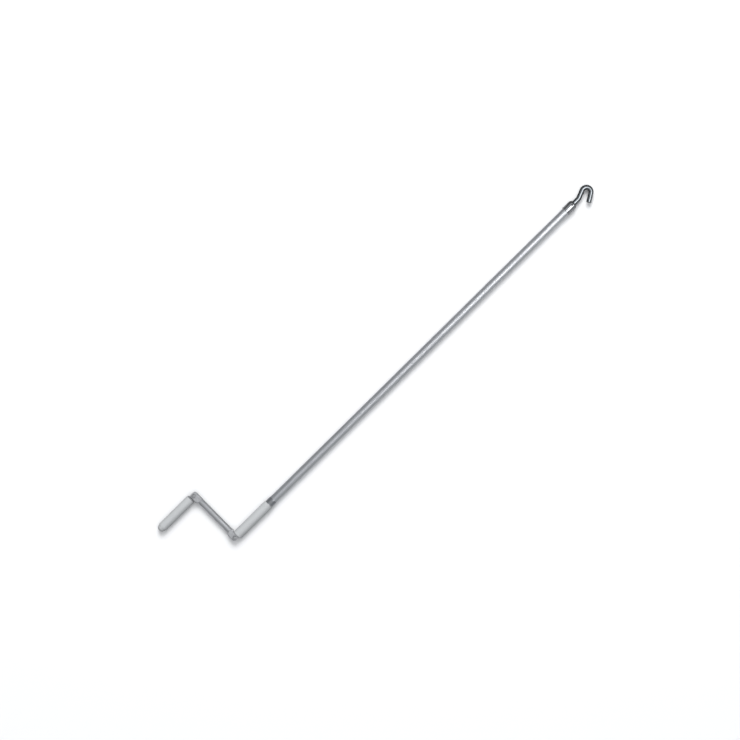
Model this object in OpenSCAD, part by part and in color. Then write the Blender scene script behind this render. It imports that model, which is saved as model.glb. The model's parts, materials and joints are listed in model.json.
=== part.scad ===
// Folding crank pole for winding high windows, laid flat on its side.
// X runs along the pole to the hook, Y along the crank arm and Z up from the surface.
// The drawing starts at the lower hinge pin, and all round parts share one axis height.

/* [Pole] */
// Outer diameter of the tube
tube_d = 16; // [14:0.5:20]
// Wall thickness of the tube
tube_wall = 1; // [0.8:0.1:1.6]
// Distance from the lower hinge pin to the hook socket
pole_reach = 929; // [400:1:1600]

/* [Hook] */
// Diameter of the hook's bar
hook_d = 10; // [8:0.5:12]
// Straight length of the bar between its socket and the first bend
hook_neck = 10; // [4:1:30]
// Angle of the first bend, away from the hook's mouth
hook_set = 22; // [5:1:35]
// Centre-line radius of the first bend
hook_set_r = 15; // [8:1:30]
// Straight length between the two bends
hook_shank = 16; // [8:1:30]
// Centre-line radius of the round bend
hook_bend_r = 9.2; // [7:0.1:16]
// Angle of the round bend
hook_turn = 170; // [150:1:180]
// Straight length of the leg behind the round bend
hook_leg = 19.6; // [12:0.2:40]
// Depth that the bar is held in its socket
hook_depth = 26; // [15:1:40]

/* [Hook socket] */
// Length of the socket outside the tube
socket_len = 23.5; // [18:0.5:40]
// Step of the socket's body above the tube
socket_step = 1; // [0.5:0.1:3]
// Length of the socket's spigot inside the tube
socket_spigot = 25; // [15:1:60]
// Width of the bead beside the tube's end
bead_w = 2.6; // [1.5:0.1:5]
// Length of the bevel at the socket's mouth
socket_bevel = 3.5; // [1:0.5:6]
// Diameter of the pin that holds the hook
hook_pin_d = 4; // [2:0.5:5]
// Distance from the socket's mouth to the hook's pin
hook_pin_inset = 5.8; // [5:0.1:12]

/* [Grips] */
// Length of the rolling sleeve on the pole
sleeve_len = 88.8; // [60:0.2:140]
// Wall thickness of the pole's sleeve
sleeve_wall = 1.9; // [1.2:0.1:4]
// Thickness of the lip at the sleeve's hinge end
sleeve_lip = 2.2; // [1:0.1:5]
// Length of the collar behind the sleeve
collar_len = 12.8; // [6:0.2:30]
// Wall thickness of the collar
collar_wall = 0.7; // [0.5:0.1:2]
// Length of the grip on the handle, without its end plug
grip_len = 79.6; // [60:0.2:140]
// Outer diameter of the handle's grip
grip_d = 18.8; // [16:0.2:30]
// Radius of the grip's domed end plug
plug_r = 8.4; // [6:0.1:12]

/* [Crank] */
// Distance between the two hinge pins
arm_length = 116.5; // [80:0.5:200]
// Diameter of the arm's bar, and height of its forks
arm_d = 12.6; // [11:0.2:16]
// Wall thickness of the arm's bar
arm_wall = 1.5; // [1:0.1:2.5]
// Distance that the bar stands off the line of the hinge pins
arm_offset = 2.8; // [0:0.1:4]
// Length of a fork from its hinge pin to the bar
fork_len = 17; // [15:0.5:30]
// Outer radius of the forks round their hinge pins
ear_r = 6.5; // [5.5:0.1:9]
// Thickness of the tongues between the forks' ears
tongue_t = 5; // [3:0.1:6]
// Diameter of the hinge pins
hinge_d = 5; // [3:0.5:6]
// Diameter of the riveted heads
hinge_head_d = 8.5; // [7:0.5:12]
// Thickness of a friction washer
washer_t = 0.6; // [0.3:0.1:1]

/* [Handle] */
// Diameter of the spindle inside the grip
spindle_d = 10; // [8:0.5:12]
// Thickness of the shoulder between hinge and grip
shoulder_t = 1.8; // [1:0.1:6]
// Diameter of the shoulder
shoulder_d = 17.4; // [14:0.2:28]
// Thread diameter of the end screw
screw_d = 5; // [3:0.5:6]

/* [Clearances] */
// Gap between parts that move past each other
gap = 0.3; // [0.2:0.05:0.6]
// Radial play of the grips on what they roll on
roll_play = 0.08; // [0.04:0.01:0.1]
// Radial play of the tongues on the hinge pins
hinge_play = 0.05; // [0.02:0.01:0.1]
// Radial play of spigots and pins in their seats
seat_play = 0.03; // [0.02:0.01:0.1]

/* [Hidden] */
$fn = 96;

cut = 1;        // how far a cutting shape runs past what it cuts
chamfer = 1;    // edge break on the grips
small_chamfer = 0.5;

// the pole, from the lower hinge pin along +X
tube_bore = tube_d - 2 * tube_wall;
sleeve_x = ear_r + gap;
sleeve_bore = tube_d + 2 * roll_play;
sleeve_d = sleeve_bore + 2 * sleeve_wall;
head_x = sleeve_x + sleeve_lip + gap;
head_len = 6;
tube_x = head_x + head_len;
knuckle_spigot = 45;
knuckle_pin_x = tube_x + knuckle_spigot / 2;
knuckle_pin_d = 4;
collar_x = sleeve_x + sleeve_len + gap;
collar_r = tube_d / 2 + seat_play + collar_wall;
collar_rivet_x = collar_x + collar_len * 0.45;
collar_rivet_d = 3.2;
collar_rivet_head = 6.4;

// the tongues of both hinges
tongue_r = ear_r - 0.7;
lip_hole = norm([tongue_t, 2 * tongue_r]) + 2 * gap;

// the hook socket, from the tube's end along +X
socket_d = tube_d + 2 * socket_step;
bead_d = socket_d + 1;
groove_w = 0.6;
groove_deep = 0.5;
socket_mouth_r = hook_d / 2 + 1.5;
hook_bore = hook_d + 2 * seat_play;
hook_bore_deep = hook_depth + 1;
socket_pin_d = 3;
socket_pin_x = pole_reach - socket_spigot * 0.6;
mouth_x = pole_reach + socket_len;
hook_pin_x = mouth_x - hook_pin_inset;

// the hook's centre line, from the socket's mouth
hook_heading = hook_set - hook_turn;
bend_thin = 0.02;   // what the bar loses in radius where it is bent
bend_lap = 1;       // how far a bend's ends reach into the straight stretches, in degrees
bend_start = [hook_neck + hook_set_r * sin(hook_set) + hook_shank * cos(hook_set),
              hook_set_r * (1 - cos(hook_set)) + hook_shank * sin(hook_set)];
bend_centre = bend_start + hook_bend_r * [sin(hook_set), -cos(hook_set)];
leg_start = bend_centre + hook_bend_r * [-sin(hook_heading), cos(hook_heading)];
leg_end = leg_start + hook_leg * [cos(hook_heading), sin(hook_heading)];

// the forks, in height and along the arm
slot_h = tongue_t + 2 * washer_t + 0.2;
washer_z = slot_h / 2 - washer_t;
slot_deep = ear_r + gap;
relief_y = sleeve_d / 2 + 2 * gap;
fork_corner = 2.5;
fork_spigot = 14;
fork_pin_d = 3;
fork_pin_y = fork_len + fork_spigot / 2;
head_h = 1.8;
friction_washer_d = 2 * tongue_r;

// the handle, from the upper hinge pin along its own axis
shoulder_x = ear_r + gap;
grip_x = shoulder_x + shoulder_t + gap;
grip_end_x = grip_x + grip_len;
cap_bore = 2 * plug_r - 2.4;
cap_deep = 14;
spindle_end_x = grip_end_x - cap_deep + gap;
spindle_washer_d = cap_bore - 2 * gap;
spindle_washer_t = 1.2;
screw_head_d = 1.7 * screw_d;
screw_head_h = 3;
screw_depth = 14;
plug_stem = 7;
plug_wall = 1.6;

// the box round the whole part, which puts the origin under its middle
low_x = -(grip_end_x + plug_r + small_chamfer);
high_x = mouth_x + bend_centre[0] + hook_bend_r + hook_d / 2;
low_y = leg_end[1] - small_chamfer * sin(hook_heading) - hook_d / 2 * cos(180 + hook_heading);
high_y = arm_length + grip_d / 2;
axis_z = max(sleeve_d, grip_d, bead_d) / 2;

// --- helpers ---

// puts a part drawn round the lower hinge pin into its place
module placed() translate([-(low_x + high_x) / 2, -(low_y + high_y) / 2, axis_z]) children();

// a part drawn along the handle's own axis
module on_handle() placed() translate([0, arm_length, 0]) rotate([0, 0, 180]) children();

// a fork drawn with its hinge pin at the origin and the bar towards +Y
module on_lower_hinge() placed() children();
module on_upper_hinge() placed() translate([0, arm_length, 0]) mirror([0, 1, 0]) children();

// a round bar along X
module bar_x(from, to, d) translate([from, 0, 0]) rotate([0, 90, 0]) cylinder(d = d, h = to - from);

// a solid of revolution round X, drawn as [radius, x] points
module turned_x(points) rotate([0, 90, 0]) rotate_extrude() polygon(points);

// a round pin with broken edges, centred on the origin along Z
module dowel(d, length) rotate_extrude() polygon([
    [0, -length / 2], [d / 2 - small_chamfer, -length / 2], [d / 2, small_chamfer - length / 2],
    [d / 2, length / 2 - small_chamfer], [d / 2 - small_chamfer, length / 2], [0, length / 2]]);

// a hole for such a pin
module dowel_hole(d, length) cylinder(d = d + 2 * seat_play, h = length + 2 * cut, center = true);

// a domed head that stands on the XY plane
module dome(d, h) {
    ball_r = (d * d / 4 + h * h) / (2 * h);
    intersection() {
        translate([0, 0, h - ball_r]) sphere(r = ball_r);
        cylinder(d = d, h = h + cut);
    }
}

// the tongue of a hinge, from the pin at the origin to a shoulder at x
module tongue(to_x) difference() {
    translate([0, 0, -tongue_t / 2]) linear_extrude(tongue_t) union() {
        circle(r = tongue_r);
        translate([0, -tongue_r]) square([to_x, 2 * tongue_r]);
    }
    cylinder(d = hinge_d + 2 * hinge_play, h = tongue_t + 2 * cut, center = true);
}

// --- the pole ---

module pole_tube() color("silver") placed() difference() {
    bar_x(tube_x, pole_reach, tube_d);
    bar_x(tube_x - cut, pole_reach + cut, tube_bore);
    translate([knuckle_pin_x, 0, 0]) dowel_hole(knuckle_pin_d, tube_d);
    translate([socket_pin_x, 0, 0]) rotate([90, 0, 0]) dowel_hole(socket_pin_d, tube_d);
    translate([collar_rivet_x, 0, 0]) cylinder(d = collar_rivet_d + 2 * seat_play, h = tube_d);
}

module hook_socket() color("gainsboro") placed() translate([pole_reach, 0, 0]) difference() {
    spigot_r = tube_bore / 2 - seat_play;
    floor_x = socket_len - hook_bore_deep;
    body_x = bead_w + groove_w;
    turned_x([
        [0, -socket_spigot], [spigot_r - small_chamfer, -socket_spigot],
        [spigot_r, small_chamfer - socket_spigot], [spigot_r, 0],
        [bead_d / 2 - small_chamfer, 0], [bead_d / 2, small_chamfer],
        [bead_d / 2, bead_w - small_chamfer], [bead_d / 2 - small_chamfer, bead_w],
        [socket_d / 2 - groove_deep, bead_w], [socket_d / 2 - groove_deep, body_x],
        [socket_d / 2, body_x], [socket_d / 2, socket_len - socket_bevel],
        [socket_mouth_r, socket_len], [hook_bore / 2, socket_len],
        [hook_bore / 2, floor_x], [0, floor_x]]);
    translate([hook_pin_x - pole_reach, 0, 0]) dowel_hole(hook_pin_d, socket_d);
    translate([socket_pin_x - pole_reach, 0, 0]) rotate([90, 0, 0]) dowel_hole(socket_pin_d, tube_d);
}

module socket_pin() color("dimgray") placed()
    translate([socket_pin_x, 0, 0]) rotate([90, 0, 0]) dowel(socket_pin_d, tube_d - gap);

// a straight stretch of the hook's bar
module hook_bar(from, heading, length)
    translate([from[0], from[1], 0]) rotate([0, 0, heading]) bar_x(0, length, hook_d);

// a bend of the hook's bar, anticlockwise from an angle round its centre, whose slightly
// thinner ends reach into the straight stretches
module hook_bend(centre, radius, from, angle)
    translate([centre[0], centre[1], 0]) rotate([0, 0, from - bend_lap])
        rotate_extrude(angle = angle + 2 * bend_lap) translate([radius, 0]) circle(d = hook_d - 2 * bend_thin);

module hook() color("lightgray") placed() translate([mouth_x, 0, 0]) difference() {
    union() {
        hook_bar([-hook_depth, 0], 0, hook_depth + hook_neck);
        hook_bend([hook_neck, hook_set_r], hook_set_r, -90, hook_set);
        hook_bar(bend_start - hook_shank * [cos(hook_set), sin(hook_set)], hook_set, hook_shank);
        hook_bend(bend_centre, hook_bend_r, 90 + hook_heading, hook_turn);
        translate([leg_start[0], leg_start[1], 0]) rotate([0, 0, hook_heading]) turned_x([
            [0, 0], [hook_d / 2, 0], [hook_d / 2, hook_leg - small_chamfer],
            [hook_d / 2 - small_chamfer, hook_leg], [0, hook_leg]]);
    }
    translate([-hook_pin_inset, 0, 0]) dowel_hole(hook_pin_d, hook_d);
}

// a rolled spring pin, hollow with a slit along its side
module hook_pin() color("gray") placed() translate([hook_pin_x, 0, 0]) difference() {
    dowel(hook_pin_d, socket_d - gap);
    cylinder(d = hook_pin_d / 2, h = socket_d + cut, center = true);
    translate([0, -hook_pin_d / 12, -socket_d / 2]) cube([hook_pin_d, hook_pin_d / 6, socket_d]);
}

// --- the pole's sleeve and what holds it ---

module retaining_collar() color("darkgray") placed() translate([collar_x, 0, 0]) difference() {
    turned_x([
        [tube_d / 2 + seat_play, 0], [collar_r, 0], [collar_r, collar_len - 1.5],
        [collar_r - collar_wall * 0.7, collar_len], [tube_d / 2 + seat_play, collar_len]]);
    translate([collar_rivet_x - collar_x, 0, 0])
        cylinder(d = collar_rivet_d + 2 * seat_play, h = tube_d);
}

// a blind rivet: a head on the collar, a shank through it and the tube, and a bulb inside
module collar_rivet() color("silver") placed() translate([collar_rivet_x, 0, 0]) {
    inner_z = tube_bore / 2 * cos(asin(collar_rivet_d / tube_bore)) - 0.1;
    difference() {
        translate([0, 0, collar_r - 1]) dome(collar_rivet_head, 2.2);
        rotate([0, 90, 0]) cylinder(r = collar_r, h = tube_d, center = true);
    }
    translate([0, 0, inner_z - 2]) cylinder(d = collar_rivet_d, h = collar_r + 0.5 - inner_z + 2);
    translate([0, 0, inner_z - 3]) cylinder(d = collar_rivet_d + 1.4, h = 2.6);
}

// the casting in the tube's end, with the tongue of the lower hinge
module pole_knuckle() color("darkgray") placed() difference() {
    union() {
        tongue(head_x + cut);
        turned_x([
            [0, head_x], [tube_d / 2 - small_chamfer, head_x], [tube_d / 2, head_x + small_chamfer],
            [tube_d / 2, tube_x], [tube_bore / 2 - seat_play, tube_x],
            [tube_bore / 2 - seat_play, tube_x + knuckle_spigot - chamfer],
            [tube_bore / 2 - chamfer, tube_x + knuckle_spigot], [0, tube_x + knuckle_spigot]]);
    }
    translate([knuckle_pin_x, 0, 0]) dowel_hole(knuckle_pin_d, tube_d);
}

module knuckle_pin() color("dimgray") placed()
    translate([knuckle_pin_x, 0, 0]) dowel(knuckle_pin_d, tube_d - gap);

module pole_sleeve() color("whitesmoke") placed() translate([sleeve_x, 0, 0]) turned_x([
    [lip_hole / 2, 0], [sleeve_d / 2 - chamfer, 0], [sleeve_d / 2, chamfer],
    [sleeve_d / 2, sleeve_len - chamfer], [sleeve_d / 2 - chamfer, sleeve_len],
    [sleeve_bore / 2, sleeve_len], [sleeve_bore / 2, sleeve_lip], [lip_hole / 2, sleeve_lip]]);

// --- the crank arm ---

module arm_bar() color("silver") placed() translate([arm_offset, 0, 0]) difference() {
    rotate([-90, 0, 0]) translate([0, 0, fork_len]) difference() {
        cylinder(d = arm_d, h = arm_length - 2 * fork_len);
        translate([0, 0, -cut]) cylinder(d = arm_d - 2 * arm_wall, h = arm_length - 2 * fork_len + 2 * cut);
    }
    for (y = [fork_pin_y, arm_length - fork_pin_y])
        translate([0, y, 0]) rotate([0, 90, 0]) dowel_hole(fork_pin_d, arm_d);
}

// the plan of a fork: one edge flush with the bar, the other round the hinge pin
module fork_plan(relieved) {
    bar_edge = arm_offset + arm_d / 2;
    circle(r = ear_r);
    if (relieved) {
        translate([-ear_r, 0]) square([2 * ear_r, relief_y + cut]);
        translate([0, relief_y]) square([bar_edge, fork_len - relief_y]);
    } else {
        translate([arm_offset, 0]) circle(d = arm_d);
        square([bar_edge, fork_len]);
        translate([-ear_r, 0]) square([ear_r + cut, relief_y + cut]);
    }
    polygon([[-ear_r, relief_y], [cut, relief_y], [cut, fork_len],
             [arm_offset - arm_d / 2, fork_len], [-ear_r, relief_y + 1.5]]);
}

// the rounded slab that a fork is cut from, seen along Y
module fork_section() {
    low = -ear_r;
    high = max(arm_offset + arm_d / 2, ear_r);
    for (x = [low + fork_corner, high - fork_corner], z = [-1, 1])
        translate([x, z * (arm_d / 2 - fork_corner)]) circle(r = fork_corner);
    translate([low + fork_corner, -arm_d / 2]) square([high - low - 2 * fork_corner, arm_d]);
    translate([low, fork_corner - arm_d / 2]) square([high - low, arm_d - 2 * fork_corner]);
}

// a fork with its spigot for the bar
module fork(relieved) difference() {
    union() {
        intersection() {
            translate([0, 0, -arm_d]) linear_extrude(2 * arm_d) fork_plan(relieved);
            translate([0, fork_len, 0]) rotate([90, 0, 0])
                linear_extrude(fork_len + 2 * arm_d) fork_section();
            translate([arm_offset, fork_len, 0]) rotate([90, 0, 0])
                cylinder(r1 = arm_d / 2, r2 = 5.5 * arm_d, h = 5 * arm_d);
        }
        translate([arm_offset, fork_len - cut, 0]) rotate([-90, 0, 0])
            cylinder(d = arm_d - 2 * arm_wall - 2 * seat_play, h = fork_spigot + cut);
    }
    translate([-2 * arm_d, -2 * arm_d, -slot_h / 2]) cube([4 * arm_d, 2 * arm_d + slot_deep, slot_h]);
    cylinder(d = hinge_d + 2 * seat_play, h = arm_d + 2 * cut, center = true);
    translate([arm_offset, fork_pin_y, 0]) rotate([0, 90, 0]) dowel_hole(fork_pin_d, arm_d);
}

module arm_fork_lower() color("darkgray") on_lower_hinge() fork(true);
module arm_fork_upper() color("darkgray") on_upper_hinge() fork(false);

module fork_pin() translate([arm_offset, fork_pin_y, 0]) rotate([0, 90, 0]) dowel(fork_pin_d, arm_d - gap);
module fork_pin_lower() color("dimgray") on_lower_hinge() fork_pin();
module fork_pin_upper() color("dimgray") on_upper_hinge() fork_pin();

// --- the hinges ---

module hinge_rivet() {
    cylinder(d = hinge_d, h = arm_d, center = true);
    translate([0, 0, arm_d / 2]) dome(hinge_head_d, head_h);
    mirror([0, 0, 1]) translate([0, 0, arm_d / 2]) dome(hinge_head_d, head_h);
}
module hinge_rivet_lower() color("lightgray") on_lower_hinge() hinge_rivet();
module hinge_rivet_upper() color("lightgray") on_upper_hinge() hinge_rivet();

// one washer on the inner face of each ear
module friction_washers() for (z = [washer_z, -washer_z - washer_t]) translate([0, 0, z]) difference() {
    cylinder(d = friction_washer_d, h = washer_t);
    translate([0, 0, -cut]) cylinder(d = hinge_d + 2 * hinge_play, h = washer_t + 2 * cut);
}
module friction_washers_lower() color("dimgray") on_lower_hinge() friction_washers();
module friction_washers_upper() color("dimgray") on_upper_hinge() friction_washers();

// --- the handle ---

module handle_spindle() color("darkgray") on_handle() difference() {
    union() {
        tongue(shoulder_x + shoulder_t / 2);
        turned_x([
            [0, shoulder_x], [shoulder_d / 2 - small_chamfer, shoulder_x],
            [shoulder_d / 2, shoulder_x + small_chamfer], [shoulder_d / 2, shoulder_x + shoulder_t],
            [spindle_d / 2, shoulder_x + shoulder_t], [spindle_d / 2, spindle_end_x - small_chamfer],
            [spindle_d / 2 - small_chamfer, spindle_end_x], [0, spindle_end_x]]);
    }
    bar_x(spindle_end_x - screw_depth - cut, spindle_end_x + cut, screw_d + 2 * seat_play);
}

module spindle_washer() color("silver") on_handle() difference() {
    bar_x(spindle_end_x, spindle_end_x + spindle_washer_t, spindle_washer_d);
    bar_x(spindle_end_x - cut, spindle_end_x + spindle_washer_t + cut, screw_d + 2 * seat_play);
}

module spindle_screw() color("dimgray") on_handle() translate([spindle_end_x + spindle_washer_t, 0, 0])
    difference() {
        union() {
            bar_x(-screw_depth, cut, screw_d);
            bar_x(0, screw_head_h, screw_head_d);
        }
        translate([screw_head_h - 1.4, -screw_head_d, -0.5]) cube([3, 2 * screw_head_d, 1]);
    }

module grip_sleeve() color("whitesmoke") on_handle() translate([grip_x, 0, 0]) turned_x([
    [spindle_d / 2 + roll_play, 0], [grip_d / 2 - chamfer, 0], [grip_d / 2, chamfer],
    [grip_d / 2, grip_len - chamfer], [grip_d / 2 - chamfer, grip_len],
    [cap_bore / 2, grip_len], [cap_bore / 2, grip_len - cap_deep],
    [spindle_d / 2 + roll_play, grip_len - cap_deep]]);

// a domed plug with a hollow stem
module grip_end_plug() color("gainsboro") on_handle() translate([grip_end_x, 0, 0]) difference() {
    union() {
        bar_x(-plug_stem, cut / 2, cap_bore - 2 * seat_play);
        bar_x(0, small_chamfer, 2 * plug_r);
        intersection() {
            translate([small_chamfer, 0, 0]) sphere(r = plug_r);
            bar_x(small_chamfer / 2, small_chamfer + plug_r + cut, 2 * plug_r + cut);
        }
    }
    bar_x(-plug_stem - cut, plug_wall, cap_bore - 2 * plug_wall);
}

pole_tube();
hook_socket();
socket_pin();
hook();
hook_pin();
retaining_collar();
collar_rivet();
pole_knuckle();
knuckle_pin();
pole_sleeve();
arm_bar();
arm_fork_lower();
arm_fork_upper();
fork_pin_lower();
fork_pin_upper();
hinge_rivet_lower();
hinge_rivet_upper();
friction_washers_lower();
friction_washers_upper();
handle_spindle();
spindle_washer();
spindle_screw();
grip_sleeve();
grip_end_plug();
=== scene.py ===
import json
import math

import bmesh
import bpy
import numpy as np
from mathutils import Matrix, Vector


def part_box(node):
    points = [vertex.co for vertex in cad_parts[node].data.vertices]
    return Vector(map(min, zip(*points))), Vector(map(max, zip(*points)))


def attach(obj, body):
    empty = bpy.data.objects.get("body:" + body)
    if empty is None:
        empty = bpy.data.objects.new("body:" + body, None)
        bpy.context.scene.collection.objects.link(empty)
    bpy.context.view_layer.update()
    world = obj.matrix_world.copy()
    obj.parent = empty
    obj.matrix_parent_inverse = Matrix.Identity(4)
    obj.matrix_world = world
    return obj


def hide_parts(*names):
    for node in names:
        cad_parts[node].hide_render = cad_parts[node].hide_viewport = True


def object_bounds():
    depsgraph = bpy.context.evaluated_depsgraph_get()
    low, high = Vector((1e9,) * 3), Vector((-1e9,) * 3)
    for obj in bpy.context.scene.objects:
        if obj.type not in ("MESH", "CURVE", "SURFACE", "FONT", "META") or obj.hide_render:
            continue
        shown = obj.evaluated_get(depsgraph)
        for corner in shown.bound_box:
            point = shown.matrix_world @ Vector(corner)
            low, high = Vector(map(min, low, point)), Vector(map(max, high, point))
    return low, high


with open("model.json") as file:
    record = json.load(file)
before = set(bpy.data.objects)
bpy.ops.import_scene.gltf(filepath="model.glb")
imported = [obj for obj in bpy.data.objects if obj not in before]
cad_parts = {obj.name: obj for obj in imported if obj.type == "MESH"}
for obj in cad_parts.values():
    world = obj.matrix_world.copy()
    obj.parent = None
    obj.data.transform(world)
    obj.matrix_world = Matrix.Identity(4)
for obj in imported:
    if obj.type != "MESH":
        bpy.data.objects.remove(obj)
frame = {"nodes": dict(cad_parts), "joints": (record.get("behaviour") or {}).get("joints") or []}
cadLow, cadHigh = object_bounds()
scene = bpy.context.scene
mm = 0.001
alongPole = np.array((1.0, 0.0, 0.0))
alongHandle = np.array((-1.0, 0.0, 0.0))
alongArm = np.array((0.0, 1.0, 0.0))
upwards = np.array((0.0, 0.0, 1.0))


# where the frame puts things

def jointPlace(name):
    return np.array(next(j["pos_m"] for j in frame["joints"] if j["name"] == name))


def corners(node):
    low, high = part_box(node)
    return np.array(low), np.array(high)


def middle(node):
    low, high = corners(node)
    return (low + high) / 2


lowerPivot = jointPlace("lower_hinge")
upperPivot = jointPlace("upper_hinge")
axisHeight = lowerPivot[2]


# surfaces

def softened(points, radii, steps=6):
    # Each corner of a closed outline becomes a curve: (1-s)^2 a + 2s(1-s) corner + s^2 b,
    # with a and b the corner's radius away on its two sides, or 0.45 of a side that is shorter.
    points = np.asarray(points, float)
    radii = np.broadcast_to(np.asarray(radii, float), len(points))
    before = np.roll(points, 1, axis=0) - points
    after = np.roll(points, -1, axis=0) - points
    lengthBefore = np.linalg.norm(before, axis=1)
    lengthAfter = np.linalg.norm(after, axis=1)
    reach = np.minimum(radii, 0.45 * np.minimum(lengthBefore, lengthAfter))[:, None]
    a = points + before / lengthBefore[:, None] * reach
    b = points + after / lengthAfter[:, None] * reach
    s = np.linspace(0.0, 1.0, steps)[None, :, None]
    curve = (1 - s) ** 2 * a[:, None] + 2 * s * (1 - s) * points[:, None] + s ** 2 * b[:, None]
    return curve.reshape(-1, 2)


def gridFaces(rows, columns, closeRows, closeColumns):
    # Quad (i, j) joins the points i, j and i + 1, j + 1, and wraps round where the grid is closed.
    i = np.arange(rows if closeRows else rows - 1)[:, None]
    j = np.arange(columns if closeColumns else columns - 1)[None, :]
    row, nextRow, beside = i * columns, (i + 1) % rows * columns, (j + 1) % columns
    quads = np.stack([row + j, row + beside, nextRow + beside, nextRow + j], -1)
    return quads.reshape(-1, 4)


def finishMesh(mesh, sharpAngle=32.0):
    # Doubles on poles and seams are merged, the normals turned outwards, and edges kept crisp past an angle.
    bm = bmesh.new()
    bm.from_mesh(mesh)
    bmesh.ops.remove_doubles(bm, verts=bm.verts, dist=1e-6)
    bmesh.ops.recalc_face_normals(bm, faces=bm.faces)
    bm.to_mesh(mesh)
    bm.free()
    mesh.shade_smooth()
    mesh.set_sharp_from_angle(angle=math.radians(sharpAngle))


def putPiece(name, points, faces, sharpAngle=32.0):
    mesh = bpy.data.meshes.new(name)
    mesh.from_pydata(points.tolist(), [], faces.tolist())
    finishMesh(mesh, sharpAngle)
    piece = bpy.data.objects.new(name, mesh)
    scene.collection.objects.link(piece)
    return piece


def crossways(axis):
    # Two directions square to the axis and to each other.
    side = np.cross(upwards, axis)
    if np.linalg.norm(side) < 0.5:
        side = np.array((1.0, 0.0, 0.0))
    side = side / np.linalg.norm(side)
    return side, np.cross(axis, side)


def turnedPoints(profile, start, axis, columns):
    # A profile of (along, radius) turned round an axis:
    # point = start + along * axis + radius * (cos(a) * side + sin(a) * other), a from 0 to a full turn.
    side, other = crossways(axis)
    a = np.linspace(0.0, 2 * np.pi, columns, endpoint=False)
    ring = np.cos(a)[:, None] * side + np.sin(a)[:, None] * other
    along, radius = profile[:, 0], profile[:, 1]
    points = start + along[:, None, None] * axis + radius[:, None, None] * ring
    return points.reshape(-1, 3)


def turned(name, outline, radii, start, axis, columns=144, steps=6, sharpAngle=32.0):
    # The outline is closed and in mm, as (along, radius). Its corners are softened, and then it is turned
    # round the axis.
    profile = softened(outline, radii, steps) * mm
    points = turnedPoints(profile, start, axis, columns)
    return putPiece(name, points, gridFaces(len(profile), columns, True, True), sharpAngle)


def baked(piece):
    # The modifiers are worked out into the mesh, so that the piece carries none.
    graph = bpy.context.evaluated_depsgraph_get()
    result = bpy.data.meshes.new_from_object(piece.evaluated_get(graph))
    piece.modifiers.clear()
    old = piece.data
    piece.data = result
    bpy.data.meshes.remove(old)
    return piece


def drilled(piece, holes, columns=48, sharpAngle=32.0):
    # Each hole is (centre, axis, radius in mm, depth in mm), cut with a round tool as long as it is deep.
    for centre, axis, radius, depth in holes:
        outline = [(-depth / 2, 0), (-depth / 2, radius), (depth / 2, radius), (depth / 2, 0)]
        profile = np.array(outline) * mm
        points = turnedPoints(profile, np.array(centre), np.array(axis, float), columns)
        tool = putPiece(piece.name + "Tool", points, gridFaces(len(profile), columns, False, True))
        cut = piece.modifiers.new("hole", "BOOLEAN")
        cut.operation, cut.solver, cut.object = "DIFFERENCE", "EXACT", tool
        baked(piece)
        bpy.data.objects.remove(tool)
    piece.data.shade_smooth()
    piece.data.set_sharp_from_angle(angle=math.radians(sharpAngle))
    return piece


def castFrom(node, name, skin):
    # A copy of a solid gets an even skin, and then each point moves part of the way to the mean of its
    # neighbours a number of times, which rounds the edges as a casting's are: p' = p + rate * (mean - p).
    mesh = frame["nodes"][node].data.copy()
    mesh.materials.clear()
    bm = bmesh.new()
    bm.from_mesh(mesh)
    bmesh.ops.remove_doubles(bm, verts=bm.verts, dist=1e-6)
    bm.to_mesh(mesh)
    bm.free()
    piece = bpy.data.objects.new(name, mesh)
    scene.collection.objects.link(piece)
    remesh = piece.modifiers.new("skin", "REMESH")
    remesh.mode, remesh.voxel_size = "VOXEL", skin["voxel"] * mm
    baked(piece)
    count = len(piece.data.vertices)
    points = np.zeros(count * 3)
    piece.data.vertices.foreach_get("co", points)
    points = points.reshape(-1, 3)
    edges = np.zeros(len(piece.data.edges) * 2, np.int32)
    piece.data.edges.foreach_get("vertices", edges)
    one, two = edges.reshape(-1, 2).T
    neighbours = np.bincount(np.concatenate([one, two]), minlength=count)[:, None]
    for step in range(skin["passes"]):
        total = np.stack([np.bincount(one, points[two, k], count) + np.bincount(two, points[one, k], count)
                          for k in range(3)], axis=1)
        points += skin["rate"] * (total / neighbours - points)
    piece.data.vertices.foreach_set("co", points.ravel())
    piece.data.update()
    piece.data.shade_smooth()
    return piece


def place(piece, body, slot, material, *nodes):
    piece.data.materials.clear()
    piece.data.materials.append(material)
    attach(piece, body)
    if nodes:
        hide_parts(*nodes)
    return piece


# effects shared by the materials

def newGroup(name, inputs, outputs):
    group = bpy.data.node_groups.new(name, "ShaderNodeTree")
    for label, kind, value in inputs:
        socket = group.interface.new_socket(label, in_out="INPUT", socket_type=kind)
        socket.default_value = value
    for label, kind in outputs:
        group.interface.new_socket(label, in_out="OUTPUT", socket_type=kind)
    nodes = group.nodes
    return group, nodes, group.links, nodes.new("NodeGroupInput"), nodes.new("NodeGroupOutput")


def mathNode(nodes, links, operation, first, second, third=None):
    node = nodes.new("ShaderNodeMath")
    node.operation = operation
    for socket, value in zip(node.inputs, (first, second, third)):
        if value is None:
            continue
        if isinstance(value, (int, float)):
            socket.default_value = value
        else:
            links.new(value, socket)
    return node.outputs[0]


def noiseNode(nodes, links, vector, scale, detail=4.0, roughness=0.55):
    noise = nodes.new("ShaderNodeTexNoise")
    links.new(vector, noise.inputs["Vector"])
    if isinstance(scale, (int, float)):
        noise.inputs["Scale"].default_value = scale
    else:
        links.new(scale, noise.inputs["Scale"])
    noise.inputs["Detail"].default_value = detail
    noise.inputs["Roughness"].default_value = roughness
    return noise.outputs["Fac"]


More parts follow.
